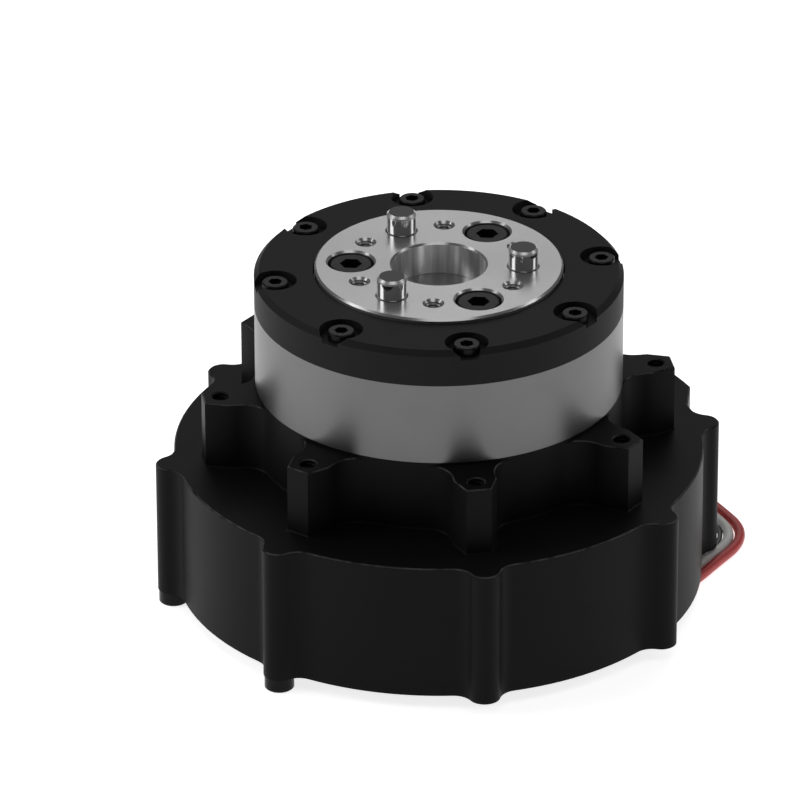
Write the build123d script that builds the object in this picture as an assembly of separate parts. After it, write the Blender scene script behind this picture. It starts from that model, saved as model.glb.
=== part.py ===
from build123d import *
from math import acos, atan2, cos, degrees, hypot, pi, radians, sin, sqrt, tan
import os

# Planetary gear motor. Millimetres, +Z up along the output axis, origin at the
# centre of the face that the motor stands on.

# Gear train
gear_module = 0.6
sun_teeth = 20
planet_teeth = 37
planet_count = 3
pressure_angle = 20.0
root_share = 1.25
tooth_backlash = 0.16
gear_face = 11.0
flank_points = 4

# Planet pins, bushes and carrier
pin_angle = 116.5
pin_radius = 2.75
dowel_radius = 3.0
pin_stand = 4.3
pin_chamfer = 0.45
pin_mouth_chamfer = 0.6
bush_wall = 1.5
bush_proud = 1.15
end_float = 0.3
running_clearance = 0.03
carrier_plate = 3.8
carrier_plate_clearance = 1.2
carrier_shoulder = 0.6
carrier_shoulder_width = 1.5
journal_bore = 7.5
post_clearance = 0.6
post_inner_radius = 12.5
post_outer_gap = 0.4

# Output flange
flange_circle = 17.85
carrier_screw_shank = 2.5
carrier_screw_head = 4.25
carrier_screw_head_height = 5.0
carrier_screw_hex = 4.0
carrier_screw_grip = 9.0
screw_spare = 0.5
screw_head_chamfer = 0.25
socket_share = 0.55
counterbore_clearance = 0.45
counterbore_sink = 0.5
counterbore_chamfer = 0.4
seat_wall = 0.95
flange_undercut = 0.06
flange_chamfer = 0.4
flange_bore_radius = 9.55
flange_bore_depth = 6.9
flange_bore_chamfer = 0.4
flange_boss_radius = 12.0
flange_boss_floor = 1.6
flange_boss_clearance = 0.45
flange_thread_radius = 1.7
flange_thread_chamfer = 0.5

# Output bearing between the flange and the front cover
output_bearing_width = 5.0
output_bearing_section = 5.0
output_ball_radius = 1.4
output_ball_count = 14
retainer_thickness = 1.1
retainer_width = 2.5
retainer_inset = 0.325

# Front cover and its screws
cover_lip = 1.5
cover_chamfer = 1.05
cover_gap = 0.3
cover_edge_margin = 1.3
cover_screw_wall = 3.0
cover_screw_shank = 1.5
cover_screw_head = 2.7
cover_screw_head_height = 1.75
cover_screw_hex = 2.5
cover_screw_bite = 6.0
cover_pocket_depth = 2.0
cover_pocket_clearance = 1.7
screw_clearance = 0.05
lobe_count = 8
lobe_angle = 9.5

# Carrier bearing in the hub, rotor bearings at both ends of the rotor shaft
journal_radius = 15.0
carrier_bearing_section = 6.0
carrier_bearing_width = 7.0
carrier_ball_radius = 1.8
carrier_ball_count = 10
shaft_radius = 7.5
rotor_bearing_section = 4.5
rotor_bearing_width = 5.0
rotor_ball_radius = 1.3
rotor_ball_count = 8
race_share = 0.36
hub_web = 2.0
hub_web_bore = 9.0
shaft_neck_radius = 5.0
sleeve_rise = 4.0

# Rotor and stator
stator_radius = 44.4
stator_depth = 14.4
stator_yoke_width = 3.4
stator_teeth = 24
stator_tooth_width = 3.4
stator_tooth_shoe = 1.3
stator_slot_mouth = 2.2
stator_limb_overlap = 0.3
core_height = 8.8
coil_overhang = 1.7
coil_thickness = 2.0
coil_length = 6.4
coil_gap_below = 0.3
coil_gap_above = 0.5
coil_corner = 1.4
coil_shoe_gap = 0.2
air_gap = 0.6
magnet_count = 28
magnet_thickness = 2.2
magnet_height = 11.0
magnet_spacing = 0.8
rotor_rim = 2.0
rotor_skirt_gap = 0.85
rotor_disc = 2.0
rotor_gap = 0.9
rotor_clearance = 1.0
rotor_window_count = 6
rotor_window_radius = 6.5
rotor_window_circle = 27.0

# Housing
housing_wall = 4.05
housing_step = 1.0
housing_top_wall = 3.0
housing_edge_chamfer = 0.3
bearing_boss_wall = 3.0
carrier_boss_wall = 3.5
hub_wall = 7.0
hub_top_web = 3.5
lobe_radius = 3.2
lobe_reach = 1.05
lobe_fillet = 4.0
outlet_angle = 32.0
outlet_face_half = 6.4
outlet_foot_half = 13.8
outlet_reach = 3.75
outlet_corner = 1.5
outlet_fillet = 2.0

# Mounting towers round the hub
tower_reach = 7.5
tower_face_gap = 3.56
tower_face = 5.1
tower_width = 8.7
tower_taper = 4.5
tower_fillet = 6.0
tower_drop = 0.5
tower_hole = 1.65
tower_hole_depth = 10.0
tower_hole_chamfer = 0.3
tower_base_fillet = 0.5
tower_edge_chamfer = 0.3

# Rear cover, stator base and driver board
foot_height = 3.0
plate_thickness = 1.8
tray_inset = 12.25
tray_wall = 2.0
tray_floor = 1.8
tray_chamfer = 0.5
spigot_height = 5.8
spigot_wall = 2.5
spigot_clearance = 0.2
base_thickness = 2.4
base_lip = 1.0
base_lip_bore = 9.5
base_tube_wall = 3.0
base_ring_wall = 3.5
base_window_count = 6
base_window_margin = 1.25
shaft_below_bearing = 2.5
board_thickness = 1.6
board_edge_gap = 2.5
board_spacer = 3.0
spacer_radius = 2.5
spacer_clearance = 0.8
spacer_count = 4
spacer_angle = 30.0
board_screw_shank = 1.25
board_screw_head = 2.2
board_screw_head_height = 1.4
board_screw_hex = 1.5
board_screw_grip = 1.8
magnet_radius = 3.0
sensor_magnet_height = 2.1
chip_size = 6.0
chip_height = 1.0
transistor_size = 5.0
transistor_height = 1.1
transistor_circle = 28.0
transistor_count = 6
capacitor_radius = 3.0
capacitor_height = 2.6
capacitor_circle = 30.0
capacitor_count = 3
capacitor_angle = 150.0

# Screws through the rear cover into five of the lobes
lobe_screw_shank = 1.5
lobe_screw_head = 3.0
lobe_screw_hex = 2.5
lobe_screw_grip = 12.0
lobe_screw_places = (1, 2, 3, 4, 5)

# Lead grommet and flying leads
grommet_stand = 0.2
grommet_angle = -13.7
first_run = 7.6
grommet_heading = 35.0
grommet_width = 10.6
grommet_length = 5.5
grommet_clearance = 0.1
power_lead = 2.2
signal_lead = 1.1
lead_lift = 0.05
bend_share = 0.45

# Worked-out gear sizes
ring_teeth = sun_teeth + 2 * planet_teeth
carrier_circle = gear_module * (sun_teeth + planet_teeth) / 2
planet_tip = gear_module * (planet_teeth + 2) / 2
ring_pitch = gear_module * ring_teeth / 2
ring_tip = ring_pitch - gear_module
ring_root = ring_pitch + root_share * gear_module
step_angle = 360.0 / planet_count

# Worked-out radii
carrier_plate_radius = ring_tip - carrier_plate_clearance
counterbore_radius = carrier_screw_head + counterbore_clearance
seat_radius = flange_circle + counterbore_radius + seat_wall
output_race_outer = seat_radius + output_bearing_section
flange_radius = seat_radius + output_bearing_section * race_share - flange_undercut
retainer_outer = ring_root - retainer_inset
cover_screw_circle = ring_root + cover_screw_wall + cover_screw_shank + screw_clearance
ring_outer = cover_screw_circle + cover_screw_head + cover_edge_margin
tower_circle = ring_outer + tower_reach
carrier_seat = journal_radius + carrier_bearing_section
carrier_shoulder_radius = journal_radius + carrier_shoulder_width
rotor_seat = shaft_radius + rotor_bearing_section
stator_yoke_inner = stator_radius - stator_depth
magnet_inner = stator_radius + air_gap
rim_inner = magnet_inner + magnet_thickness
rim_outer = rim_inner + rotor_rim
chamber_radius = rim_outer + rotor_clearance
body_radius = chamber_radius + housing_wall
base_radius = chamber_radius + housing_step
lobe_circle = body_radius + lobe_reach
tray_radius = body_radius - tray_inset
board_radius = base_radius - spigot_clearance - spigot_wall - board_edge_gap
spacer_circle = tray_radius - tray_wall - board_screw_head - spacer_clearance

# Worked-out heights, each stacked on the one before
plate_bottom = foot_height
body_bottom = plate_bottom + plate_thickness
base_bottom = body_bottom + spigot_height
base_top = base_bottom + base_thickness
coil_bottom = base_top + coil_gap_below
core_bottom = coil_bottom + coil_overhang
core_top = core_bottom + core_height
disc_bottom = core_top + coil_overhang + coil_gap_above
disc_top = disc_bottom + rotor_disc
wall_bottom = disc_top + rotor_gap
shoulder_top = wall_bottom + housing_top_wall
front_bearing_bottom = wall_bottom + sleeve_rise
hub_web_bottom = front_bearing_bottom + rotor_bearing_width
carrier_bearing_bottom = hub_web_bottom + hub_web
hub_top = carrier_bearing_bottom + carrier_bearing_width
plate_low = hub_top + carrier_shoulder
plate_high = plate_low + carrier_plate
bush_bottom = plate_high + end_float
gear_bottom = bush_bottom + bush_proud
gear_top = gear_bottom + gear_face
bush_top = gear_top + bush_proud
flange_bottom = bush_top + end_float
ring_top = flange_bottom - retainer_thickness
output_bearing_top = flange_bottom + output_bearing_width
cover_top = output_bearing_top + cover_lip
boss_bottom = gear_top + flange_boss_clearance
bore_floor = boss_bottom + flange_boss_floor
flange_top = bore_floor + flange_bore_depth
rear_bearing_bottom = base_top + base_lip
rear_bearing_top = rear_bearing_bottom + rotor_bearing_width
shaft_bottom = rear_bearing_bottom - shaft_below_bearing
board_top = base_bottom - board_spacer
board_bottom = board_top - board_thickness


def polar(radius, angle, height=0.0):
    """A place by radius and angle about the output axis."""
    return Pos(radius * cos(radians(angle)), radius * sin(radians(angle)), height)


def tube(outer, inner, bottom, top):
    """A plain ring between two heights."""
    ring = Circle(outer) - Circle(inner)
    return Pos(0, 0, bottom) * extrude(ring, amount=top - bottom)


def disc(radius, bottom, top):
    """A plain round between two heights."""
    return Pos(0, 0, bottom) * extrude(Circle(radius), amount=top - bottom)


def cone_mouth(radius, chamfer, top):
    """The countersink that a tool leaves round a hole's mouth."""
    mouth = Cone(radius, radius + chamfer, chamfer, align=(Align.CENTER, Align.CENTER, Align.MAX))
    return Pos(0, 0, top) * mouth


def tooth_outline(teeth, addendum, dedendum, widening, phase):
    """Closed outline of an involute gear, one tooth centred on the phase angle in degrees."""
    pitch = gear_module * teeth / 2
    base = pitch * cos(radians(pressure_angle))
    tip = pitch + addendum
    root = pitch - dedendum
    start = max(base, root)
    pitch_turn = sqrt((pitch / base) ** 2 - 1)
    half_tooth = pi / (2 * teeth) + widening / (2 * pitch) + pitch_turn - acos(base / pitch)
    points = []
    for tooth in range(teeth):
        centre = radians(phase) + 2 * pi * tooth / teeth
        flank = []
        for k in range(flank_points):
            radius = start + (tip - start) * k / (flank_points - 1)
            turn = sqrt(max((radius / base) ** 2 - 1, 0.0))
            flank.append((radius, half_tooth - turn + acos(base / radius)))
        if root < base:
            flank.insert(0, (root, flank[0][1]))
        for radius, half in flank:
            points.append((radius * cos(centre - half), radius * sin(centre - half)))
        for radius, half in reversed(flank):
            points.append((radius * cos(centre + half), radius * sin(centre + half)))
    return make_face(Polyline(*points, close=True))


def planet_phase(angle):
    """Turn of a planet that seats its teeth in the sun, whose first tooth is on +X."""
    mesh = 0.5 - angle * sun_teeth / 360.0
    return angle - (mesh - planet_teeth / 2) * 360.0 / planet_teeth


def ring_phase(angle):
    """Turn of the ring gear's tooth gaps that seats the planet at that angle."""
    mesh = angle * (ring_teeth + sun_teeth) / 360.0 + (planet_teeth - 1) / 2
    return mesh * 360.0 / ring_teeth


def socket_screw(shank, grip, head, head_height, hexagon):
    """Socket-head screw standing head up, the underside of its head at height 0."""
    depth = head_height * socket_share
    body = disc(head, 0, head_height)
    body = chamfer(body.edges().sort_by(Axis.Z)[-1], screw_head_chamfer)
    body += Pos(0, 0, -grip) * extrude(Circle(shank), amount=grip)
    socket = extrude(RegularPolygon(hexagon / 2, 6, major_radius=False), amount=depth)
    return body - Pos(0, 0, head_height - depth) * socket


def ring_of(solid, radius, angles, height):
    """Copies of a solid about the output axis, one at each angle, as a group."""
    return Compound(children=[polar(radius, a, height) * Rot(0, 0, a) * solid for a in angles])


def bearing(bore, section, width, bottom, ball, balls):
    """Outer race, inner race and balls of a deep-groove bearing."""
    outer = bore + section
    middle = (bore + outer) / 2
    race = section * race_share
    groove = Torus(middle, ball + running_clearance)
    groove = Pos(0, 0, bottom + width / 2) * groove
    outer_race = tube(outer, outer - race, bottom, bottom + width) - groove
    inner_race = tube(bore + race, bore, bottom, bottom + width) - groove
    angles = [360.0 * k / balls for k in range(balls)]
    group = ring_of(Sphere(ball), middle, angles, bottom + width / 2)
    return outer_race, inner_race, group


def spot(radius, angle):
    """A point in plan by radius and angle about the output axis."""
    return (radius * cos(radians(angle)), radius * sin(radians(angle)))


def rim_arc(radius, start, stop):
    """Arc about the output axis between two angles."""
    return ThreePointArc(spot(radius, start), spot(radius, (start + stop) / 2), spot(radius, stop))


def toward(start, target, distance):
    """The point at a distance from one point towards another."""
    length = hypot(target[0] - start[0], target[1] - start[1])
    share = distance / length
    return (start[0] + (target[0] - start[0]) * share, start[1] + (target[1] - start[1]) * share)


def lobed_outline():
    """Plan of the wide body: a round with a filleted boss at each lobe and the outlet block."""
    near = body_radius + lobe_fillet
    far = lobe_radius + lobe_fillet
    foot = degrees(acos((near ** 2 + lobe_circle ** 2 - far ** 2) / (2 * near * lobe_circle)))
    edges = []
    for angle in lobe_angles():
        centre = spot(lobe_circle, angle)
        joins = []
        for side in (-1, 1):
            hollow = spot(near, angle + side * foot)
            on_body = spot(body_radius, angle + side * foot)
            on_lobe = toward(centre, hollow, lobe_radius)
            between = ((on_body[0] + on_lobe[0]) / 2, (on_body[1] + on_lobe[1]) / 2)
            joins.append(on_lobe)
            edges.append(ThreePointArc(on_body, toward(hollow, between, lobe_fillet), on_lobe))
        edges.append(ThreePointArc(joins[0], spot(lobe_circle + lobe_radius, angle), joins[1]))
        start = angle + foot
        stop = angle + 360.0 / lobe_count - foot
        if start < outlet_angle < stop:
            face = body_radius + outlet_reach
            low_face = outlet_angle - outlet_face_half
            high_face = outlet_angle + outlet_face_half
            low_foot = outlet_angle - outlet_foot_half
            high_foot = outlet_angle + outlet_foot_half
            edges.append(rim_arc(body_radius, start, low_foot))
            edges.append(Line(spot(body_radius, low_foot), spot(face, low_face)))
            edges.append(rim_arc(face, low_face, high_face))
            edges.append(Line(spot(face, high_face), spot(body_radius, high_foot)))
            edges.append(rim_arc(body_radius, high_foot, stop))
        else:
            edges.append(rim_arc(body_radius, start, stop))
    return make_face(edges)


def outlet_edges(solid):
    """Upright edges of the outlet block: the two outer corners, then the two feet."""
    face = body_radius + outlet_reach
    upright = [e for e in solid.edges().filter_by(Axis.Z) if abs(turn_from(e, outlet_angle)) < 15]
    corners = [e for e in upright if abs(reach_of(e) - face) < 0.05]
    feet = [e for e in upright if abs(reach_of(e) - body_radius) < 0.05]
    return corners, feet


def reach_of(edge):
    middle = edge.center()
    return hypot(middle.X, middle.Y)


def turn_from(edge, angle):
    """Angle of an edge's middle about the output axis, measured from the given one."""
    middle = edge.center()
    return (degrees(atan2(middle.Y, middle.X)) - angle + 180.0) % 360.0 - 180.0


def lobed_slab(bottom, top):
    """The wide body's plan raised between two heights, with the outlet block's edges rounded."""
    slab = Pos(0, 0, bottom) * extrude(lobed_outline(), amount=top - bottom)
    corners, feet = outlet_edges(slab)
    slab = fillet(corners, outlet_corner)
    corners, feet = outlet_edges(slab)
    return fillet(feet, outlet_fillet)


def tower_outline():
    """Plan of the hub with its tapered mounting towers, blended into it by large hollow fillets."""
    face = tower_circle + tower_face_gap
    half_face = tower_face / 2
    half_width = tower_width / 2
    shoulder = face - tower_taper
    near = ring_outer + tower_fillet
    across = sqrt(near ** 2 - (half_width + tower_fillet) ** 2)
    foot = degrees(atan2(half_width + tower_fillet, across))
    edges = []
    for angle in lobe_angles():
        turn = Rot(0, 0, angle)
        for side in (-1, 1):
            hollow = (across, side * (half_width + tower_fillet))
            on_hub = spot(ring_outer, side * foot)
            on_side = (across, side * half_width)
            middle = ((on_hub[0] + on_side[0]) / 2, (on_hub[1] + on_side[1]) / 2)
            edges.append(turn * ThreePointArc(on_hub, toward(hollow, middle, tower_fillet), on_side))
            edges.append(turn * Line(on_side, (shoulder, side * half_width)))
            edges.append(turn * Line((shoulder, side * half_width), (face, side * half_face)))
        edges.append(turn * Line((face, -half_face), (face, half_face)))
        edges.append(rim_arc(ring_outer, angle + foot, angle + 360.0 / lobe_count - foot))
    return make_face(edges)


def lobe_angles():
    return [lobe_angle + 360.0 * k / lobe_count for k in range(lobe_count)]


def screwed_lobes():
    return [lobe_angle + 360.0 * k / lobe_count for k in lobe_screw_places]


def make_housing():
    """Cast housing: lobed wide body, hub, eight towers and the seats of two bearings."""
    body = lobed_slab(body_bottom, shoulder_top)
    rim = [e for e in body.edges() if abs(e.center().Z - shoulder_top) < 0.01]
    body = chamfer(rim, housing_edge_chamfer)
    tower_top = hub_top - tower_drop
    towers = Pos(0, 0, shoulder_top) * extrude(tower_outline(), amount=tower_top - shoulder_top)
    rim = [e for e in towers.edges() if abs(e.center().Z - tower_top) < 0.01]
    towers = chamfer(rim, tower_edge_chamfer)
    housing = body + towers + disc(ring_outer, shoulder_top, hub_top)
    foot_line = [
        e
        for e in housing.edges()
        if abs(e.center().Z - shoulder_top) < 0.01
        and abs(e.bounding_box().size.Z) < 0.01
        and hypot(e.center().X, e.center().Y) < tower_circle + tower_face_gap + 0.1
    ]
    housing = fillet(foot_line, tower_base_fillet)
    boss = rotor_seat + bearing_boss_wall
    seat_wall_outer = carrier_seat + carrier_boss_wall
    cavity = [
        (0, body_bottom),
        (base_radius, body_bottom),
        (base_radius, base_top),
        (chamber_radius, base_top),
        (chamber_radius, wall_bottom),
        (ring_outer - hub_wall, wall_bottom),
        (ring_outer - hub_wall, hub_top - hub_top_web),
        (seat_wall_outer, hub_top - hub_top_web),
        (seat_wall_outer, hub_web_bottom - bearing_boss_wall / 2),
        (boss, hub_web_bottom - bearing_boss_wall / 2),
        (boss, front_bearing_bottom),
        (rotor_seat, front_bearing_bottom),
        (rotor_seat, hub_web_bottom),
        (hub_web_bore, hub_web_bottom),
        (hub_web_bore, carrier_bearing_bottom),
        (carrier_seat, carrier_bearing_bottom),
        (carrier_seat, hub_top),
        (0, hub_top),
    ]
    profile = Plane.XZ * make_face(Polyline(*cavity, close=True))
    housing -= revolve(profile, Axis.Z)
    hole = disc(tower_hole, tower_top - tower_hole_depth, tower_top)
    hole += cone_mouth(tower_hole, tower_hole_chamfer, tower_top)
    for angle in lobe_angles():
        housing -= polar(tower_circle, angle) * hole
    thread = disc(lobe_screw_shank + screw_clearance, body_bottom, body_bottom + lobe_screw_grip)
    for angle in screwed_lobes():
        housing -= polar(lobe_circle, angle) * thread
    thread = disc(cover_screw_shank + screw_clearance, hub_top - cover_screw_bite, hub_top)
    for angle in lobe_angles():
        housing -= polar(cover_screw_circle, angle) * thread
    return housing


def grommet_face():
    """Middle of the grommet's outer face, in plan."""
    return spot(tray_radius + grommet_stand, grommet_angle)


def lead_notch():
    """Channel through the tray's rim that the grommet sits in and the leads run out of."""
    far = tray_radius / 2
    width = grommet_width + 2 * grommet_clearance
    align = (Align.MIN, Align.CENTER, Align.MIN)
    channel = Box(grommet_length + far, width, foot_height, align=align)
    place = Pos(*grommet_face(), 0) * Rot(0, 0, grommet_heading)
    return place * Pos(-grommet_length - grommet_clearance, 0, 0) * channel


def make_rear_cover():
    """Rear cover: a thin lobed plate with a shallow tray below and a clamping spigot above."""
    plate = lobed_slab(plate_bottom, body_bottom)
    tray = disc(tray_radius, 0, plate_bottom)
    tray = chamfer(tray.edges().sort_by(Axis.Z)[0], tray_chamfer)
    cover = plate + tray - disc(tray_radius - tray_wall, tray_floor, body_bottom)
    outer = base_radius - spigot_clearance
    cover += tube(outer, outer - spigot_wall, body_bottom, base_bottom)
    cover -= lead_notch()
    for angle in screwed_lobes():
        hole = polar(lobe_circle, angle) * disc(lobe_screw_shank + screw_clearance, plate_bottom, body_bottom)
        cover -= hole
    return cover


def make_grommet():
    """Rubber block that closes the notch, its outer face square to the leads."""
    align = (Align.MAX, Align.CENTER, Align.MIN)
    block = Box(grommet_length, grommet_width, foot_height - grommet_clearance, align=align)
    return Pos(*grommet_face(), 0) * Rot(0, 0, grommet_heading) * block


def make_lobe_screws():
    screw = socket_screw(lobe_screw_shank, lobe_screw_grip, lobe_screw_head, foot_height, lobe_screw_hex)
    return ring_of(Rot(180, 0, 0) * screw, lobe_circle, screwed_lobes(), plate_bottom)


def make_ring_gear():
    """Ring gear: the bright ring of the case, its teeth cut on the inside."""
    gaps = tooth_outline(ring_teeth, root_share * gear_module, gear_module, tooth_backlash, ring_phase(pin_angle))
    blank = Circle(ring_outer) - gaps
    ring = Pos(0, 0, hub_top) * extrude(blank, amount=ring_top - hub_top)
    hole = disc(cover_screw_shank + screw_clearance, hub_top, ring_top)
    for angle in lobe_angles():
        ring -= polar(cover_screw_circle, angle) * hole
    return ring


def make_front_cover():
    """Front cover: holds the output bearing, with a round pocket that breaks the rim at each screw."""
    cover = disc(ring_outer, ring_top, cover_top)
    cover = chamfer(cover.edges().sort_by(Axis.Z)[-1], cover_chamfer)
    cover -= disc(flange_radius + cover_gap, ring_top, cover_top)
    cover -= disc(output_race_outer, ring_top, output_bearing_top)
    cover -= disc(retainer_outer + screw_clearance, ring_top, flange_bottom)
    floor = cover_top - cover_pocket_depth
    hole = disc(cover_screw_shank + screw_clearance, ring_top, floor)
    hole += disc(cover_screw_head + cover_pocket_clearance, floor, cover_top)
    for angle in lobe_angles():
        cover -= polar(cover_screw_circle, angle) * hole
    return cover


def make_cover_screws():
    grip = cover_top - cover_pocket_depth - hub_top + cover_screw_bite - screw_spare
    screw = socket_screw(cover_screw_shank, grip, cover_screw_head, cover_screw_head_height, cover_screw_hex)
    return ring_of(screw, cover_screw_circle, lobe_angles(), cover_top - cover_pocket_depth)


def carrier_angles(offset):
    return [pin_angle + offset + step_angle * k for k in range(planet_count)]


def make_flange():
    """Output flange: pin holes, counterbored screw holes and threads round a blind bore."""
    flange = disc(flange_radius, output_bearing_top, flange_top)
    flange = chamfer(flange.edges().sort_by(Axis.Z)[-1], flange_chamfer)
    flange += disc(seat_radius, flange_bottom, output_bearing_top)
    flange += disc(flange_boss_radius, boss_bottom, flange_bottom)
    flange -= disc(flange_bore_radius, bore_floor, flange_top)
    flange -= cone_mouth(flange_bore_radius, flange_bore_chamfer, flange_top)
    sink = carrier_screw_head_height + counterbore_sink
    screw_hole = disc(counterbore_radius, flange_top - sink, flange_top)
    screw_hole += disc(carrier_screw_shank + screw_clearance, flange_bottom, flange_top)
    screw_hole += cone_mouth(counterbore_radius, counterbore_chamfer, flange_top)
    pin_hole = disc(pin_radius, flange_bottom, flange_top)
    pin_hole += cone_mouth(pin_radius, pin_mouth_chamfer, flange_top)
    thread = disc(flange_thread_radius, flange_bottom, flange_top)
    thread += cone_mouth(flange_thread_radius, flange_thread_chamfer, flange_top)
    for angle in carrier_angles(0):
        flange -= polar(carrier_circle, angle) * pin_hole
    for angle in carrier_angles(step_angle / 2):
        flange -= polar(flange_circle, angle) * screw_hole
    for angle in carrier_angles(step_angle / 4) + carrier_angles(-step_angle / 4):
        flange -= polar(flange_circle, angle) * thread
    return flange


def make_carrier():
    """Planet carrier: a journal, a plate and three posts that fill the space between planets."""
    carrier = disc(journal_radius, carrier_bearing_bottom, hub_top)
    carrier += disc(carrier_shoulder_radius, hub_top, plate_low)
    carrier += disc(carrier_plate_radius, plate_low, plate_high)
    posts = Circle(seat_radius + output_bearing_section * race_share - post_outer_gap)
    posts -= Circle(post_inner_radius)
    for angle in carrier_angles(0):
        posts -= polar(carrier_circle, angle) * Circle(planet_tip + post_clearance)
    carrier += Pos(0, 0, plate_high) * extrude(posts, amount=flange_bottom - plate_high)
    carrier -= disc(journal_bore, carrier_bearing_bottom, plate_high)
    for angle in carrier_angles(0):
        carrier -= polar(carrier_circle, angle) * disc(pin_radius, plate_low, plate_high)
    thread = disc(carrier_screw_shank + screw_clearance, flange_bottom - carrier_screw_grip, flange_bottom)
    for angle in carrier_angles(step_angle / 2):
        carrier -= polar(flange_circle, angle) * thread
    return carrier


def make_carrier_screws():
    under_head = flange_top - carrier_screw_head_height - counterbore_sink
    grip = under_head - flange_bottom + carrier_screw_grip - screw_spare
    screw = socket_screw(
        carrier_screw_shank, grip, carrier_screw_head, carrier_screw_head_height, carrier_screw_hex
    )
    return ring_of(screw, flange_circle, carrier_angles(step_angle / 2), under_head)


def make_planet_pins():
    """Ground pins that carry the planets; a thicker end stands proud of the flange as a dowel."""
    pin = disc(pin_radius, plate_low, flange_top) + disc(dowel_radius, flange_top, flange_top + pin_stand)
    pin = chamfer(pin.edges().sort_by(Axis.Z)[-1], pin_chamfer)
    return ring_of(pin, carrier_circle, carrier_angles(0), 0)


def make_planet(angle):
    outline = tooth_outline(
        planet_teeth, gear_module, root_share * gear_module, -tooth_backlash, planet_phase(angle)
    )
    bush_outer = pin_radius + running_clearance + bush_wall
    gear = Pos(0, 0, gear_bottom) * extrude(outline - Circle(bush_outer), amount=gear_face)
    return polar(carrier_circle, angle) * gear


def make_bush(angle):
    inner = pin_radius + running_clearance
    return polar(carrier_circle, angle) * tube(inner + bush_wall, inner, bush_bottom, bush_top)


def make_sun_shaft():
    """Rotor shaft with the sun gear cut on its upper end."""
    outline = tooth_outline(sun_teeth, gear_module, root_share * gear_module, -tooth_backlash, 0)
    shaft = disc(shaft_radius, shaft_bottom, hub_web_bottom)
    shaft += disc(shaft_neck_radius, hub_web_bottom, gear_bottom)
    shaft += Pos(0, 0, gear_bottom) * extrude(outline, amount=gear_face)
    return shaft


def make_rotor_cup():
    """Rotor: a turned cup with a sleeve that spaces the two rotor bearings apart."""
    sleeve = shaft_radius + rotor_bearing_section * race_share
    cup = tube(sleeve, shaft_radius, rear_bearing_top, front_bearing_bottom)
    cup += tube(rim_outer, shaft_radius, disc_bottom, disc_top)
    cup += tube(rim_outer, rim_inner, base_top + rotor_skirt_gap, disc_bottom)
    for k in range(rotor_window_count):
        window = disc(rotor_window_radius, disc_bottom, disc_top)
        cup -= polar(rotor_window_circle, 360.0 * k / rotor_window_count) * window
    return cup


def make_magnets():
    middle = (core_bottom + core_top) / 2
    pitch = 2 * pi * rim_inner / magnet_count
    width = pitch - magnet_spacing
    ring = Circle(rim_inner) - Circle(magnet_inner)
    bar = ring & (Pos(rim_inner, 0) * Rectangle(rim_inner, width))
    bottom = middle - magnet_height / 2
    solid = Pos(0, 0, bottom) * extrude(bar, amount=magnet_height)
    angles = [360.0 * k / magnet_count for k in range(magnet_count)]
    return ring_of(solid, 0, angles, 0)


def make_stator_core():
    yoke = stator_yoke_inner + stator_yoke_width
    core = Circle(yoke) - Circle(stator_yoke_inner)
    shoe = Circle(stator_radius) - Circle(stator_radius - stator_tooth_shoe)
    shoe_width = 2 * pi * stator_radius / stator_teeth - stator_slot_mouth
    shoe &= Pos(stator_radius, 0) * Rectangle(stator_radius, shoe_width)
    limb_length = stator_radius - stator_yoke_inner - stator_tooth_shoe
    limb_middle = stator_yoke_inner + stator_limb_overlap + limb_length / 2
    limb = Pos(limb_middle, 0) * Rectangle(limb_length, stator_tooth_width)
    for k in range(stator_teeth):
        core += Rot(0, 0, 360.0 * k / stator_teeth) * (shoe + limb)
    return Pos(0, 0, core_bottom) * extrude(core, amount=core_height)


def make_windings():
    """One coil round each stator tooth."""
    width = stator_tooth_width + 2 * coil_thickness
    height = core_height + 2 * coil_overhang
    coil = Box(coil_length, width, height)
    coil = fillet(coil.edges().filter_by(Axis.X), coil_corner)
    coil -= Box(coil_length, stator_tooth_width, core_height)
    middle = stator_radius - stator_tooth_shoe - coil_shoe_gap - coil_length / 2
    angles = [360.0 * k / stator_teeth for k in range(stator_teeth)]
    return ring_of(coil, middle, angles, (core_bottom + core_top) / 2)


def make_stator_base():
    """Stator base: clamped under the housing's step, with the rear bearing's seat in its middle."""
    base = tube(base_radius, base_lip_bore, base_bottom, base_top)
    tube_outer = rotor_seat + base_tube_wall
    base += tube(tube_outer, base_lip_bore, base_top, rear_bearing_bottom)
    base += tube(tube_outer, rotor_seat, rear_bearing_bottom, rear_bearing_top)
    ring_inner = stator_yoke_inner - base_ring_wall
    base += tube(stator_yoke_inner + stator_yoke_width, ring_inner, base_top, core_bottom)
    base += tube(stator_yoke_inner, ring_inner, core_bottom, core_top)
    middle = (tube_outer + ring_inner) / 2
    base_window_radius = (ring_inner - tube_outer) / 2 - base_window_margin
    for k in range(base_window_count):
        window = disc(base_window_radius, base_bottom, base_top)
        base -= polar(middle, 360.0 * (k + 0.5) / base_window_count) * window
    for angle in spacer_angles():
        base -= polar(spacer_circle, angle) * disc(board_screw_shank, base_bottom, base_top)
    return base


def spacer_angles():
    return [spacer_angle + 360.0 * k / spacer_count for k in range(spacer_count)]


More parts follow.
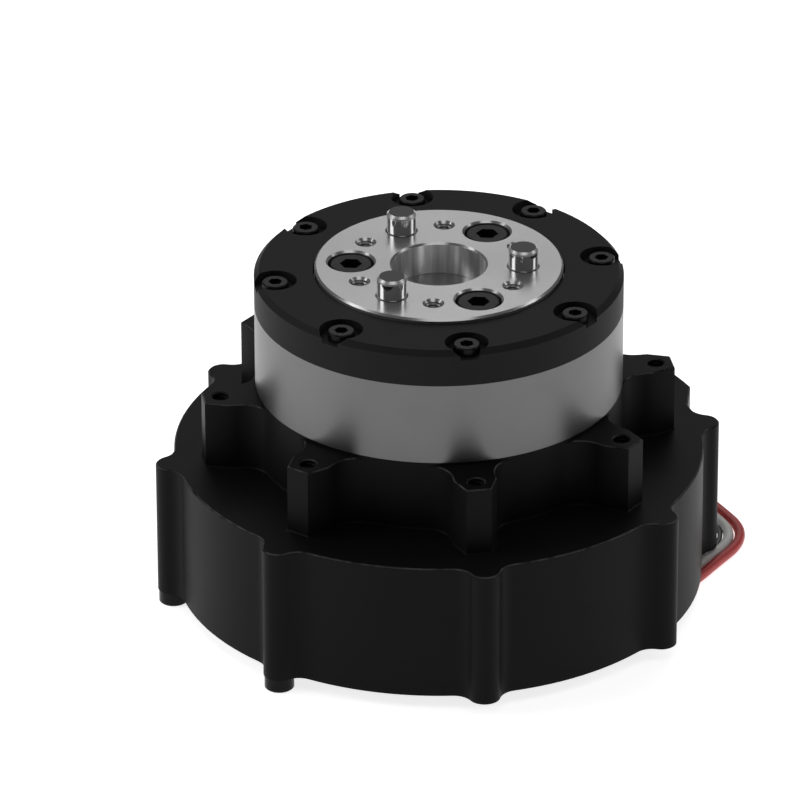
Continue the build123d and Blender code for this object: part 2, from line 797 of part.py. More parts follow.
def make_board():
    """Driver board with its angle sensor, power transistors and capacitors."""
    board = disc(board_radius, board_bottom, board_top)
    for angle in spacer_angles():
        board -= polar(spacer_circle, angle) * disc(board_screw_shank + screw_clearance, board_bottom, board_top)
    align = (Align.CENTER, Align.CENTER, Align.MIN)
    board += Pos(0, 0, board_top) * Box(chip_size, chip_size, chip_height, align=align)
    transistor = Box(transistor_size, transistor_size, transistor_height, align=align)
    for k in range(transistor_count):
        angle = 360.0 * k / transistor_count
        board += polar(transistor_circle, angle, board_top) * Rot(0, 0, angle) * transistor
    can = disc(capacitor_radius, board_bottom - capacitor_height, board_bottom)
    for k in range(capacitor_count):
        board += polar(capacitor_circle, capacitor_angle + 360.0 * k / capacitor_count) * can
    return board


def make_board_spacers():
    spacer = tube(spacer_radius, board_screw_shank + screw_clearance, board_top, base_bottom)
    return ring_of(spacer, spacer_circle, spacer_angles(), 0)


def make_board_screws():
    grip = board_thickness + board_spacer + board_screw_grip
    screw = socket_screw(board_screw_shank, grip, board_screw_head, board_screw_head_height, board_screw_hex)
    return ring_of(Rot(180, 0, 0) * screw, spacer_circle, spacer_angles(), board_bottom)


# Middle of the bunch of leads after its first straight run: out under the rim, then round the back.
lead_route = [
    (51.5, 0.5), (55.2, 6.7), (59.6, 13.5), (61.2, 21.5), (59.2, 29.5), (54.3, 37.6),
    (46.6, 45.9), (36.0, 53.4), (23.5, 59.0), (10.0, 62.2), (-4.0, 62.8), (-17.0, 60.8),
]

# Each lead's diameter, its lane beside the middle of the bunch, and how many points it stops short.
lead_lanes = {
    "power_lead_red": (power_lead, -3.0, 0),
    "power_lead_light": (power_lead, -0.5, 0),
    "signal_lead_dark": (signal_lead, 1.4, 1),
    "signal_lead_pale": (signal_lead, 2.9, 2),
}


def beside(route, offset):
    """A route moved to its left by an offset, its corners mitred."""
    normals = []
    for here, after in zip(route, route[1:]):
        run = hypot(after[0] - here[0], after[1] - here[1])
        normals.append(((here[1] - after[1]) / run, (after[0] - here[0]) / run))
    moved = []
    for k, (x, y) in enumerate(route):
        before = normals[max(k - 1, 0)]
        after = normals[min(k, len(normals) - 1)]
        scale = offset / (1 + before[0] * after[0] + before[1] * after[1])
        moved.append((x + scale * (before[0] + after[0]), y + scale * (before[1] + after[1])))
    return moved


def make_lead(name):
    """A lead as straight runs and tangent arcs lying on the floor; prints its bend radii."""
    diameter, lane, short = lead_lanes[name]
    heading = radians(grommet_heading)
    face = grommet_face()
    knee = (face[0] + first_run * cos(heading), face[1] + first_run * sin(heading))
    points = beside([face, knee] + lead_route, lane)
    points = points[:len(points) - short]
    height = diameter / 2 + lead_lift
    radii = []
    for before, here, after in zip(points, points[1:], points[2:]):
        run_in = hypot(here[0] - before[0], here[1] - before[1])
        run_out = hypot(after[0] - here[0], after[1] - here[1])
        heading_in = atan2(here[1] - before[1], here[0] - before[0])
        heading_out = atan2(after[1] - here[1], after[0] - here[0])
        turn = abs((heading_out - heading_in + pi) % (2 * pi) - pi)
        radii.append(bend_share * min(run_in, run_out) / tan(turn / 2))
    path = FilletPolyline(*[(x, y, height) for x, y in points], radius=radii)
    start = path.position_at(0)
    section = Plane(origin=start, z_dir=path.tangent_at(0)) * Circle(diameter / 2)
    lead = sweep(section, path=path)
    expected = pi * diameter ** 2 / 4 * path.length
    print(name, "length", round(path.length, 1), "volume ratio", round(lead.volume / expected, 4))
    print("  points", [(round(x, 2), round(y, 2), height) for x, y in points])
    print("  radii", [round(r, 1) for r in radii])
    return lead


def main():
    os.makedirs("parts", exist_ok=True)
    nodes = {
        "motor_housing": make_housing(),
        "rear_cover": make_rear_cover(),
        "lead_grommet": make_grommet(),
        "lobe_screws": make_lobe_screws(),
        "ring_gear": make_ring_gear(),
        "front_cover": make_front_cover(),
        "front_cover_screws": make_cover_screws(),
        "output_flange": make_flange(),
        "planet_carrier": make_carrier(),
        "carrier_screws": make_carrier_screws(),
        "planet_pins": make_planet_pins(),
        "sun_shaft": make_sun_shaft(),
        "rotor_cup": make_rotor_cup(),
        "rotor_magnets": make_magnets(),
        "stator_core": make_stator_core(),
        "stator_windings": make_windings(),
        "stator_base": make_stator_base(),
        "driver_board": make_board(),
        "board_spacers": make_board_spacers(),
        "board_screws": make_board_screws(),
    }
    nodes["bearing_retainer"] = tube(retainer_outer, retainer_outer - retainer_width, ring_top, flange_bottom)
    nodes["sensor_magnet"] = disc(magnet_radius, shaft_bottom - sensor_magnet_height, shaft_bottom)
    bearings = {
        "output_bearing": (seat_radius, output_bearing_section, output_bearing_width, flange_bottom,
                           output_ball_radius, output_ball_count),
        "carrier_bearing": (journal_radius, carrier_bearing_section, carrier_bearing_width,
                            carrier_bearing_bottom, carrier_ball_radius, carrier_ball_count),
        "front_rotor_bearing": (shaft_radius, rotor_bearing_section, rotor_bearing_width,
                                front_bearing_bottom, rotor_ball_radius, rotor_ball_count),
        "rear_rotor_bearing": (shaft_radius, rotor_bearing_section, rotor_bearing_width,
                               rear_bearing_bottom, rotor_ball_radius, rotor_ball_count),
    }
    for name, sizes in bearings.items():
        outer_race, inner_race, balls = bearing(*sizes)
        nodes[name + "_outer_race"] = outer_race
        nodes[name + "_inner_race"] = inner_race
        nodes[name + "_balls"] = balls
    for k, angle in enumerate(carrier_angles(0)):
        nodes["planet_gear_" + str(k + 1)] = make_planet(angle)
        nodes["planet_bush_" + str(k + 1)] = make_bush(angle)
    for name in lead_lanes:
        nodes[name] = make_lead(name)
    for name, solid in nodes.items():
        export_step(solid, "parts/" + name + ".step")
    print(len(nodes), "nodes written")


main()
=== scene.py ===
import math
import bmesh
import bpy
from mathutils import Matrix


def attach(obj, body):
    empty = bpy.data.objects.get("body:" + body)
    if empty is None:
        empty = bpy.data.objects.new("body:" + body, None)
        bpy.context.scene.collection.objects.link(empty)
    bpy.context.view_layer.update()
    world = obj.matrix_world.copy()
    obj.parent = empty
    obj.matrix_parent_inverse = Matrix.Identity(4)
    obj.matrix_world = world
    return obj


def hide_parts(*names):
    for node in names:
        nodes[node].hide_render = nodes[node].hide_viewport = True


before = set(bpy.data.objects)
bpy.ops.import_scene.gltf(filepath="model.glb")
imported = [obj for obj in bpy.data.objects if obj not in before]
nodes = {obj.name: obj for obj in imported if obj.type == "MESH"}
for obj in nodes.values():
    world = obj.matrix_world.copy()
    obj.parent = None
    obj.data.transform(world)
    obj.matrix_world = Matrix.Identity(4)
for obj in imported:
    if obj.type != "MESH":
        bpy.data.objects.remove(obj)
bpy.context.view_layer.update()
print("frame loaded,", len(nodes), "nodes")

photoCamera = {
    "aim": (0.0, 0.0, 0.0469),
    "distance": 1.5,
    "elevation": 27.26,
    "sensor": 36.0,
    "lens": 330.87,
    "shiftX": -0.0486,
    "shiftY": -0.0288,
    "farClip": 50.0,
}

tilt = math.radians(photoCamera["elevation"])
camera = bpy.data.objects.new("photoCamera", bpy.data.cameras.new("photoCamera"))
bpy.context.scene.collection.objects.link(camera)
aimX, aimY, aimZ = photoCamera["aim"]
reach = photoCamera["distance"]
camera.location = (aimX, aimY - reach * math.cos(tilt), aimZ + reach * math.sin(tilt))
camera.rotation_euler = (math.pi / 2 - tilt, 0, 0)
camera.data.sensor_width = photoCamera["sensor"]
camera.data.lens = photoCamera["lens"]
camera.data.shift_x = photoCamera["shiftX"]
camera.data.shift_y = photoCamera["shiftY"]
camera.data.clip_end = photoCamera["farClip"]
bpy.context.scene.camera = camera
bpy.context.scene.view_settings.view_transform = "Standard"  # whites as flat as in the photograph
print("camera set")


class Wire:
    # one value socket, so that masks can be written as plain sums
    def __init__(self, tree, socket):
        self.tree = tree
        self.socket = socket

    def combine(self, operation, first, second):
        made = self.tree.nodes.new("ShaderNodeMath")
        made.operation = operation
        for slot, value in zip(made.inputs, (first, second)):
            if isinstance(value, Wire):
                self.tree.links.new(value.socket, slot)
            else:
                slot.default_value = value
        return Wire(self.tree, made.outputs[0])

    def __add__(self, other):
        return self.combine("ADD", self, other)

    def __radd__(self, other):
        return self.combine("ADD", other, self)

    def __sub__(self, other):
        return self.combine("SUBTRACT", self, other)

    def __rsub__(self, other):
        return self.combine("SUBTRACT", other, self)

    def __mul__(self, other):
        return self.combine("MULTIPLY", self, other)

    def __rmul__(self, other):
        return self.combine("MULTIPLY", other, self)

    def __pow__(self, other):
        return self.combine("POWER", self, other)

    def __rpow__(self, other):
        return self.combine("POWER", other, self)


bandFade = 0.00002  # metres over which the mask of a band fades out


class Finish:
    # a material with one shader, built up node by node
    def __init__(self, name):
        self.material = bpy.data.materials.new(name)
        self.material.use_nodes = True
        self.tree = self.material.node_tree
        self.tree.nodes.clear()
        self.shader = self.tree.nodes.new("ShaderNodeBsdfPrincipled")
        output = self.tree.nodes.new("ShaderNodeOutputMaterial")
        self.tree.links.new(self.shader.outputs[0], output.inputs[0])
        self.place = self.node("ShaderNodeTexCoord", out="Object")
        x, y, z = [self.node("ShaderNodeSeparateXYZ", out=axis, Vector=self.place) for axis in "XYZ"]
        self.height = z
        self.radius = (x * x + y * y) ** 0.5

    def node(self, kind, out=0, settings=None, **values):
        made = self.tree.nodes.new(kind)
        for key, value in (settings or {}).items():
            setattr(made, key, value)
        for key, value in values.items():
            slot = made.inputs[int(key[4:])] if key.startswith("slot") else made.inputs[key.replace("_", " ")]
            self.join(slot, value)
        return Wire(self.tree, made.outputs[out])

    def join(self, slot, value):
        if isinstance(value, Wire):
            self.tree.links.new(value.socket, slot)
        else:
            slot.default_value = value

    def feed(self, name, value):
        self.join(self.shader.inputs[name], value)

    def noise(self, scale, detail=2.0, where=None):
        return self.node("ShaderNodeTexNoise", Vector=where or self.place, Scale=scale, Detail=detail)

    def lines(self, lane, marks):
        # tool marks: noise that changes along one measure only
        where = self.node("ShaderNodeCombineXYZ", X=lane * marks, Y=0.0, Z=0.0)
        return self.noise(1.0, 3.0, where)

    def step(self, value, low, high):
        return self.node("ShaderNodeMapRange", Value=value, From_Min=low, From_Max=high)

    def band(self, value, low, high):
        return self.step(value, low - bandFade, low) * (1 - self.step(value, high, high + bandFade))

    def colour(self, mask, dark, light):
        return self.node("ShaderNodeMix", out=2, settings={"data_type": "RGBA"},
                         slot0=mask, slot6=dark, slot7=light)

    def relief(self, height, depth, strength):
        self.feed("Normal", self.node("ShaderNodeBump", Height=height, Distance=depth, Strength=strength))


def grey(tone, warmth=0.0):
    return (tone, tone, tone * (1 - warmth), 1)


housingPaint = {
    "dark": 0.0048,
    "light": 0.008,
    # lighter tone on top edges: a painted edge highlight, partly worn paint
    "edgeWearAndHighlight": 0.055,
    "roughness": 0.44,
    "grainSwing": 0.1,
    "broadSwing": 0.1,
    "specular": 0.055,
    "broadScale": 26.0,
    "grainScale": 2300.0,
    "grainDepth": 0.000018,
    "reliefStrength": 0.5,
    "rubScale": 420.0,
    "rubSpan": (0.3, 0.6),
    "edges": ((0.04615, 0.04637, 0.038), (0.03165, 0.03187, 0.045)),  # lighter edges, painted edge highlight and worn paint: low, high, nearest radius
    "edgeFade": 0.0003,
}


def blackCasting():
    look = housingPaint
    finish = Finish("blackCasting")
    broad = finish.noise(look["broadScale"], 3.0)
    grain = finish.noise(look["grainScale"])
    rubbed = finish.noise(look["rubScale"], 4.0)
    # top edges painted lighter: painted edge highlight and worn paint
    edgeWearAndHighlight = 0.0
    for low, high, nearest in look["edges"]:
        outside = finish.step(finish.radius, nearest, nearest + look["edgeFade"])
        edgeWearAndHighlight = finish.band(finish.height, low, high) * outside + edgeWearAndHighlight
    edgeWearAndHighlight = edgeWearAndHighlight * finish.step(rubbed, *look["rubSpan"])  # painted edge highlight and wear, broken up so that it shows in places only
    paint = finish.colour(broad, grey(look["dark"]), grey(look["light"]))
    finish.feed("Base Color", finish.colour(edgeWearAndHighlight, paint, grey(look["edgeWearAndHighlight"])))
    swing = (grain - 0.5) * look["grainSwing"] + (broad - 0.5) * look["broadSwing"]
    finish.feed("Roughness", look["roughness"] + swing)
    finish.feed("Metallic", 0.0)
    finish.feed("Specular IOR Level", look["specular"])
    finish.relief(grain, look["grainDepth"], look["reliefStrength"])
    return finish.material


coverAnodising = {
    "dark": 0.013,
    "light": 0.02,
    "roughness": 0.5,
    "grainSwing": 0.12,
    "marksSwing": 0.08,
    "specular": 0.045,
    "broadScale": 36.0,
    "grainScale": 3000.0,
    "marks": 5200.0,
    "marksDepth": 0.00001,
    "reliefStrength": 0.5,
}


def blackAnodising():
    look = coverAnodising
    finish = Finish("blackAnodising")
    broad = finish.noise(look["broadScale"], 3.0)
    grain = finish.noise(look["grainScale"])
    turned = finish.lines(finish.radius, look["marks"])
    tone = broad * 0.5 + turned * 0.3 + grain * 0.2
    finish.feed("Base Color", finish.colour(tone, grey(look["dark"]), grey(look["light"])))
    swing = (grain - 0.5) * look["grainSwing"] + (turned - 0.5) * look["marksSwing"]
    finish.feed("Roughness", look["roughness"] + swing)
    finish.feed("Metallic", 0.0)
    finish.feed("Specular IOR Level", look["specular"])
    finish.relief(grain * 0.6 + turned * 0.4, look["marksDepth"], look["reliefStrength"])
    return finish.material


quarterTurn = 0.25  # lays the brushing round the axis

ringGearSteel = {
    "dark": 0.105,
    "light": 0.2,
    "roughness": 0.4,
    "marksSwing": 0.14,
    "broadSwing": 0.08,
    "brushing": 0.4,
    "broadScale": 45.0,
    "marks": 9000.0,
    "marksDepth": 0.000006,
    "reliefStrength": 0.6,
}


def turnedSteel():
    look = ringGearSteel
    finish = Finish("turnedSteel")
    broad = finish.noise(look["broadScale"], 4.0)
    turned = finish.lines(finish.height, look["marks"])
    tone = broad * 0.6 + turned * 0.4
    finish.feed("Base Color", finish.colour(tone, grey(look["dark"]), grey(look["light"])))
    swing = (turned - 0.5) * look["marksSwing"] + (broad - 0.5) * look["broadSwing"]
    finish.feed("Roughness", look["roughness"] + swing)
    finish.feed("Anisotropic", look["brushing"])
    finish.feed("Anisotropic Rotation", quarterTurn)
    finish.feed("Metallic", 1.0)
    finish.relief(turned, look["marksDepth"], look["reliefStrength"])
    return finish.material


flangeAluminium = {
    "dark": 0.44,
    "light": 0.56,
    "satin": 0.12,
    "roughness": 0.24,
    "marksSwing": 0.08,
    "brushing": 0.4,
    "broadScale": 70.0,
    "marks": 6500.0,
    "marksDepth": 0.000007,
    "reliefStrength": 0.7,
    # bore tones: painted dark reflection and painted highlight streak
    "boreDarkReflectionTone": 0.45,
    "boreHighlightTone": 1.0,
    "boreSatin": 0.3,
    "boreMarks": 900.0,
    "borePaintedStreaks": 210.0,
    "boreStretch": 0.06,
    "paintedStreakSpan": (0.4, 0.6),
    "boreWall": (0.00945, 0.00965),
    "boreMouth": 0.0723,
    "mouthFade": 0.00005,
    "boreFloor": 0.0659,
    "floorFade": 0.0001,
    "floorTone": 0.42,
}


def facedAluminium():
    # faced on a lathe: rings on the flat, upright scoring in the bore; the bore's colour also carries painted
    # highlight streaks and painted dark reflection
    look = flangeAluminium
    finish = Finish("facedAluminium")
    broad = finish.noise(look["broadScale"], 4.0)
    rings = finish.lines(finish.radius, look["marks"])
    stretched = finish.node("ShaderNodeMapping", Vector=finish.place, Scale=(1.0, 1.0, look["boreStretch"]))
    scoring = finish.noise(look["boreMarks"], 3.0, stretched)
    # broad noise that paints highlight and dark reflection bands down the bore wall
    paintedStreaks = finish.noise(look["borePaintedStreaks"], 1.0, stretched)
    mouth = look["boreMouth"]
    bottom = look["boreFloor"]
    inBore = finish.band(finish.radius, *look["boreWall"])
    inBore = inBore * (1 - finish.step(finish.height, mouth, mouth + look["mouthFade"]))
    tool = rings * (1 - inBore) + scoring * inBore
    deep = 1 - finish.step(finish.height, bottom, bottom + look["floorFade"])
    faced = finish.colour(broad * 0.45 + rings * 0.55, grey(look["dark"]), grey(look["light"]))
    # bore colour: scoring tone mixed with painted highlight streaks and painted dark reflection
    scoredWithPaintedStreaks = finish.step(scoring * 0.35 + paintedStreaks * 0.65, *look["paintedStreakSpan"])
    boreWithPaintedStreaks = finish.colour(scoredWithPaintedStreaks, grey(look["boreDarkReflectionTone"]), grey(look["boreHighlightTone"]))
    metal = finish.colour(inBore, faced, boreWithPaintedStreaks)
    finish.feed("Base Color", finish.colour(deep, metal, grey(look["floorTone"])))
    finish.feed("Roughness", look["roughness"] + (tool - 0.5) * look["marksSwing"])
    finish.feed("Anisotropic", look["brushing"])
    finish.feed("Anisotropic Rotation", quarterTurn)
    finish.feed("Metallic", 1 - look["satin"] - inBore * (look["boreSatin"] - look["satin"]))
    finish.relief(tool, look["marksDepth"], look["reliefStrength"])
    return finish.material


pinSteel = {
    "dark": 0.58,
    "light": 0.72,
    "roughness": 0.08,
    "marksSwing": 0.06,
    "broadScale": 150.0,
    "marks": 14000.0,
    "marksDepth": 0.000002,
    "reliefStrength": 0.5,
    "rim": (0.0761, 0.07697),
    "rimRoughness": 0.34,
    "faceFrom": 0.07699,
    "faceFade": 0.00001,
    "faceRoughness": 0.2,
    # top face painted near black: a painted dark reflection
    "facePaintedReflection": 0.045,
}


def groundSteel():
    look = pinSteel
    finish = Finish("groundSteel")
    broad = finish.noise(look["broadScale"], 3.0)
    marks = finish.lines(finish.height, look["marks"])
    face = finish.step(finish.height, look["faceFrom"], look["faceFrom"] + look["faceFade"])
    rim = finish.band(finish.height, *look["rim"])
    faceDulling = look["faceRoughness"] - look["roughness"]
    rimDulling = look["rimRoughness"] - look["roughness"]
    steel = finish.colour(broad, grey(look["dark"]), grey(look["light"]))
    # the flat top face takes a painted dark reflection
    finish.feed("Base Color", finish.colour(face, steel, grey(look["facePaintedReflection"])))
    swing = (marks - 0.5) * look["marksSwing"]
    finish.feed("Roughness", look["roughness"] + swing + face * faceDulling + rim * rimDulling)
    finish.feed("Metallic", 1.0)
    finish.relief(marks, look["marksDepth"], look["reliefStrength"])
    return finish.material


# a plain finish takes these unless it has its own
plainLook = {"broadSwing": 0.1, "grainSwing": 0.06, "reliefStrength": 0.5, "specular": 0.5}


def plainFinish(name, own):
    look = {**plainLook, **own}
    finish = Finish(name)
    broad = finish.noise(look["broadScale"], 4.0)
    grain = finish.noise(look["grainScale"])
    finish.feed("Base Color", finish.colour(broad, look["dark"], look["light"]))
    swing = (broad - 0.5) * look["broadSwing"] + (grain - 0.5) * look["grainSwing"]
    finish.feed("Roughness", look["roughness"] + swing)
    finish.feed("Metallic", look["metallic"])
    finish.feed("Specular IOR Level", look["specular"])
    finish.relief(grain, look["grainDepth"], look["reliefStrength"])
    return finish.material


oxideScrews = {
    "dark": grey(0.007), "light": grey(0.016), "roughness": 0.34, "metallic": 0.6, "specular": 0.1,
    "broadScale": 420.0, "grainScale": 2400.0, "grainDepth": 0.00005,
}
threadAluminium = {
    "dark": grey(0.2), "light": grey(0.32), "roughness": 0.4, "metallic": 1.0,
    "broadScale": 600.0, "grainScale": 3500.0, "grainDepth": 0.000004,
}
gearSteel = {
    "dark": grey(0.36), "light": grey(0.5), "roughness": 0.28, "metallic": 1.0,
    "broadScale": 90.0, "grainScale": 3000.0, "grainDepth": 0.000004,
}
bushBronze = {
    "dark": (0.42, 0.25, 0.1, 1), "light": (0.58, 0.36, 0.15, 1), "roughness": 0.34, "metallic": 1.0,
    "broadScale": 150.0, "grainScale": 3000.0, "grainDepth": 0.000005,
}
nickelMagnet = {
    "dark": grey(0.34), "light": grey(0.46), "roughness": 0.22, "metallic": 1.0,
    "broadScale": 80.0, "grainScale": 2600.0, "grainDepth": 0.000003,
}
windingCopper = {
    "dark": (0.4, 0.14, 0.05, 1), "light": (0.6, 0.25, 0.1, 1), "roughness": 0.32, "metallic": 0.8,
    "broadScale": 260.0, "grainScale": 2400.0, "grainDepth": 0.00003,
}
boardGreen = {
    "dark": (0.01, 0.09, 0.045, 1), "light": (0.016, 0.13, 0.065, 1), "roughness": 0.34, "metallic": 0.0,
    "broadScale": 180.0, "grainScale": 1800.0, "grainDepth": 0.00001,
}
spacerNylon = {
    "dark": grey(0.55, 0.08), "light": grey(0.66, 0.08), "roughness": 0.5, "metallic": 0.0,
    "broadScale": 150.0, "grainScale": 2500.0, "grainDepth": 0.000006,
}
grommetRubber = {
    "dark": grey(0.01), "light": grey(0.018), "roughness": 0.6, "metallic": 0.0,
    "broadScale": 100.0, "grainScale": 2600.0, "grainDepth": 0.00001,
}

finishes = {
    "casting": blackCasting(),
    "anodising": blackAnodising(),
    "ringGear": turnedSteel(),
    "flange": facedAluminium(),
    "pins": groundSteel(),
    "screws": plainFinish("oxideScrews", oxideScrews),
    "gears": plainFinish("gearSteel", gearSteel),
    "threads": plainFinish("cutThreads", threadAluminium),
    "bushes": plainFinish("bushBronze", bushBronze),
    "magnets": plainFinish("nickelMagnet", nickelMagnet),
    "windings": plainFinish("windingCopper", windingCopper),
    "board": plainFinish("boardGreen", boardGreen),
    "nylon": plainFinish("spacerNylon", spacerNylon),
    "rubber": plainFinish("grommetRubber", grommetRubber),
}
print("finishes made")

wears = {  # every other node wears "gears"
    "motor_housing": "casting",
    "rear_cover": "casting",
    "front_cover": "anodising",
    "ring_gear": "ringGear",
    "output_flange": "flange",
    "planet_pins": "pins",
    "lobe_screws": "screws",
    "front_cover_screws": "screws",
    "carrier_screws": "screws",
    "board_screws": "screws",
    "lead_grommet": "rubber",
    "driver_board": "board",
    "board_spacers": "nylon",
    "stator_windings": "windings",
    "rotor_magnets": "magnets",
    "sensor_magnet": "magnets",
    "planet_bush_1": "bushes",
    "planet_bush_2": "bushes",
    "planet_bush_3": "bushes",
}

weldReach = 0.000002
sharpFrom = math.radians(28)
for name, part in nodes.items():
    part.data.materials.clear()
    part.data.materials.append(finishes[wears.get(name, "gears")])
    part.data.polygons.foreach_set("use_smooth", [True] * len(part.data.polygons))
    weld = part.modifiers.new("weld", "WELD")
    weld.merge_threshold = weldReach
    split = part.modifiers.new("sharpEdges", "EDGE_SPLIT")
    split.split_angle = sharpFrom
print("nodes dressed")

flangeThreads = {
    "circle": 0.01785, "first": 26.5, "holes": 6, "wall": 0.0017, "ridge": 0.00024, "sunk": 0.00005,
    "bottom": 0.0662, "top": 0.0721, "pitch": 0.0007, "stepsPerTurn": 20, "sharpFrom": 40,
    "body": "output", "slot": "flange_metal", "finish": "threads",
}
towerThreads = {
    "circle": 0.045, "first": 9.5, "holes": 8, "wall": 0.00165, "ridge": 0.00024, "sunk": 0.00005,
    "bottom": 0.0372, "top": 0.0458, "pitch": 0.0007, "stepsPerTurn": 20, "sharpFrom": 40,
    "body": "motor", "slot": "black_casting", "finish": "casting",
}


ridgeShare = 0.98  # of the pitch, so that one turn doesn't touch the next


def cutThreads(name, look):
    # one ridge wound up each hole's wall
    shape = bmesh.new()
    pitch = look["pitch"]
    bottom = look["bottom"]
    turns = (look["top"] - bottom) / pitch - 1
    steps = round(turns * look["stepsPerTurn"])
    outer = look["wall"] + look["sunk"]  # its back lies in the wall
    inner = look["wall"] - look["ridge"]
    for hole in range(look["holes"]):
        angle = math.radians(look["first"] + hole * 360 / look["holes"])
        x = look["circle"] * math.cos(angle)
        y = look["circle"] * math.sin(angle)
        corners = [(outer, bottom), (inner, bottom + pitch / 2), (outer, bottom + pitch * ridgeShare)]
        profile = [shape.verts.new((x + across, y, height)) for across, height in corners]
        start = shape.faces.new(profile)
        bmesh.ops.spin(shape, geom=profile + list(start.edges) + [start], cent=(x, y, 0), axis=(0, 0, 1),
                       dvec=(0, 0, turns * pitch / steps), angle=turns * 2 * math.pi, steps=steps)
    bmesh.ops.recalc_face_normals(shape, faces=shape.faces)
    mesh = bpy.data.meshes.new(name)
    shape.to_mesh(mesh)
    shape.free()
    mesh.polygons.foreach_set("use_smooth", [True] * len(mesh.polygons))
    mesh.materials.append(finishes[look["finish"]])
    piece = bpy.data.objects.new(name, mesh)
    bpy.context.scene.collection.objects.link(piece)
    edges = piece.modifiers.new("sharpEdges", "EDGE_SPLIT")
    edges.split_angle = math.radians(look["sharpFrom"])
    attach(piece, look["body"])


cutThreads("flange_thread_ridges", flangeThreads)
cutThreads("tower_thread_ridges", towerThreads)
print("threads cut")

redLead = {
    "diameter": 0.0022, "length": 0.1428, "dark": (0.36, 0.02, 0.02, 1), "light": (0.5, 0.035, 0.03, 1),
    "points": [
        (0.04272, -0.01245), (0.04938, -0.00779), (0.05402, -0.00113), (0.05775, 0.00512), (0.06243, 0.01235),
        (0.0632, 0.0198), (0.0592, 0.0275), (0.0545, 0.0358), (0.0472, 0.0455), (0.0372, 0.0546),
        (0.0244, 0.0611), (0.0104, 0.0649), (-0.00417, 0.06581), (-0.0205, 0.0632)],
}
lightLead = {
    "diameter": 0.0022, "length": 0.1361, "dark": (0.5, 0.5, 0.48, 1), "light": (0.62, 0.62, 0.6, 1),
    "points": [
        (0.04129, -0.0104), (0.04758, -0.00599), (0.05192, 0.00023), (0.05562, 0.00644), (0.0602, 0.0127),
        (0.0607, 0.0193), (0.0568, 0.0266), (0.0521, 0.0345), (0.0452, 0.0436), (0.0357, 0.0523),
        (0.0235, 0.0587), (0.01007, 0.0624), (-0.00403, 0.0633), (-0.0201, 0.0606)],
}
darkLead = {
    "diameter": 0.0011, "length": 0.118, "dark": (0.05, 0.05, 0.055, 1), "light": (0.09, 0.09, 0.095, 1),
    "points": [
        (0.0402, -0.00885), (0.04622, -0.00463), (0.05032, 0.00126), (0.05401, 0.00744), (0.0583, 0.0131),
        (0.0591, 0.0205), (0.0557, 0.0276), (0.0505, 0.0347), (0.0438, 0.0424), (0.0346, 0.0508),
        (0.0229, 0.0569), (0.00981, 0.0605), (-0.0069, 0.0612)],
}
paleLead = {
    "diameter": 0.0011, "length": 0.1007, "dark": (0.48, 0.48, 0.46, 1), "light": (0.6, 0.6, 0.58, 1),
    "points": [
        (0.03934, -0.00762), (0.04514, -0.00356), (0.04906, 0.00207), (0.05274, 0.00823), (0.0568, 0.0136),
        (0.0583, 0.0223), (0.0546, 0.0288), (0.0489, 0.0343), (0.0423, 0.0413), (0.0336, 0.0494),
        (0.0222, 0.0554), (0.0067, 0.0595)],
}


leadRubber = {
    "roughness": 0.42,
    "broadSwing": 0.12,
    "broadScale": 400.0,
    "grainScale": 3000.0,
    "grainDepth": 0.000004,
    "reliefStrength": 0.4,
}


def siliconeRubber(name, lead):
    look = leadRubber
    finish = Finish(name)
    broad = finish.noise(look["broadScale"])
    grain = finish.noise(look["grainScale"])
    finish.feed("Base Color", finish.colour(broad, lead["dark"], lead["light"]))
    finish.feed("Roughness", look["roughness"] + (broad - 0.5) * look["broadSwing"])
    finish.relief(grain, look["grainDepth"], look["reliefStrength"])
    return finish.material


leadShape = {"floorGap": 0.00005, "stepsPerSpan": 12, "bevelSteps": 6}


def layLead(name, lead):
    radius = lead["diameter"] / 2
    height = radius + leadShape["floorGap"]
    curve = bpy.data.curves.new(name + "_line", "CURVE")
    curve.dimensions = "3D"
    line = curve.splines.new("NURBS")
    line.points.add(len(lead["points"]) - 1)
    for point, (x, y) in zip(line.points, lead["points"]):
        point.co = (x, y, height, 1)
    line.order_u = 3
    line.use_endpoint_u = True
    line.resolution_u = leadShape["stepsPerSpan"]
    curve.bevel_depth = radius
    curve.bevel_resolution = leadShape["bevelSteps"]
    curve.use_fill_caps = True
    piece = bpy.data.objects.new(name + "_run", curve)
    bpy.context.scene.collection.objects.link(piece)
    curve.materials.append(siliconeRubber(name + "_silicone", lead))
    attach(piece, "motor")
    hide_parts(name)
    x, y = lead["points"][0]


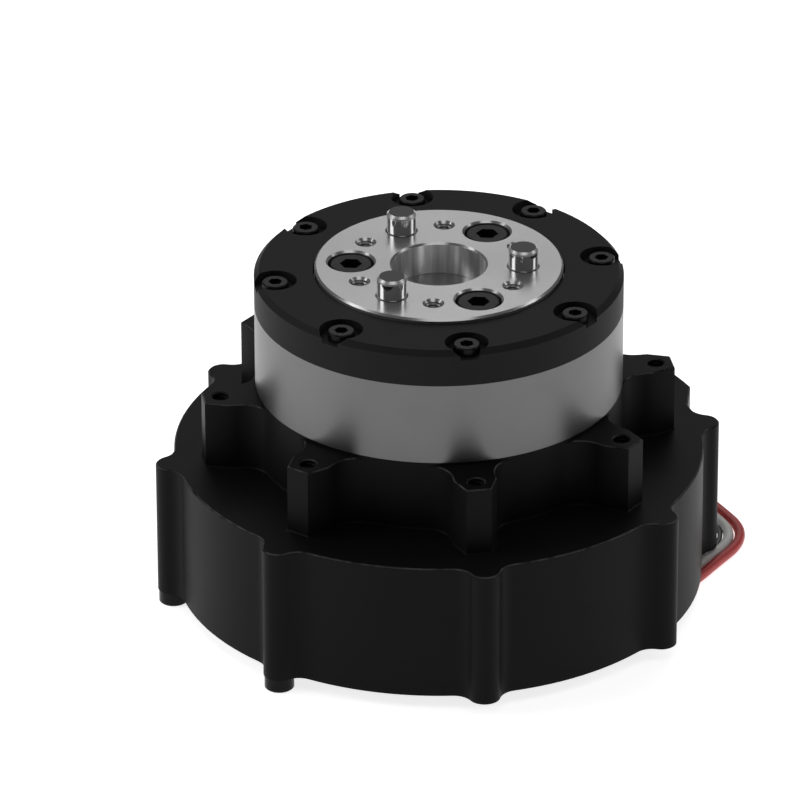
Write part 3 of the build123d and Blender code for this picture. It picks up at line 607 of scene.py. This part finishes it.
layLead("power_lead_red", redLead)
layLead("power_lead_light", lightLead)
layLead("signal_lead_dark", darkLead)
layLead("signal_lead_pale", paleLead)
print("leads laid")

studioFloor = {"size": 8.0, "tone": 0.85, "roughness": 0.9, "specular": 0.1, "glow": 0.8}

floorFinish = Finish("paleFloor")
floorFinish.feed("Base Color", grey(studioFloor["tone"]))
floorFinish.feed("Roughness", studioFloor["roughness"])
floorFinish.feed("Specular IOR Level", studioFloor["specular"])
floorFinish.feed("Emission Color", grey(1.0))
floorFinish.feed("Emission Strength", studioFloor["glow"])
bpy.ops.mesh.primitive_plane_add(size=studioFloor["size"], location=(0, 0, 0))
floor = bpy.context.object
floor.name = "studioFloor"
floor.data.materials.append(floorFinish.material)

studioWorld = {"tone": 1.0, "strength": 0.08}
world = bpy.data.worlds.new("studioWorld")
world.use_nodes = True
world.node_tree.nodes["Background"].inputs[0].default_value = grey(studioWorld["tone"])
world.node_tree.nodes["Background"].inputs[1].default_value = studioWorld["strength"]
bpy.context.scene.world = world

lampsAim = 0.035  # height of the motor's middle
softboxes = {
    "overhead": {"at": (-0.1, 0.62, 0.98), "size": (1.4, 0.9), "power": 5.0},
    "backWall": {"at": (0.0, 1.15, 0.64), "size": (1.6, 0.55), "power": 1.4},
    "leftWall": {"at": (-0.95, -0.1, 0.45), "size": (0.5, 0.8), "power": 3.6},
    "rightWall": {"at": (0.95, 0.1, 0.4), "size": (0.35, 0.7), "power": 1.8},
    "behindCamera": {"at": (0.1, -0.45, 1.15), "size": (0.7, 0.5), "power": 1.2},
}


def hangSoftbox(name, box):
    light = bpy.data.lights.new(name, "AREA")
    light.shape = "RECTANGLE"
    light.size, light.size_y = box["size"]
    light.energy = box["power"]
    lamp = bpy.data.objects.new(name, light)
    bpy.context.scene.collection.objects.link(lamp)
    lamp.location = box["at"]
    away = lamp.location.copy()
    away.z -= lampsAim
    lamp.rotation_euler = away.to_track_quat("Z", "Y").to_euler()


for name, box in softboxes.items():
    hangSoftbox(name, box)
print("studio lit")
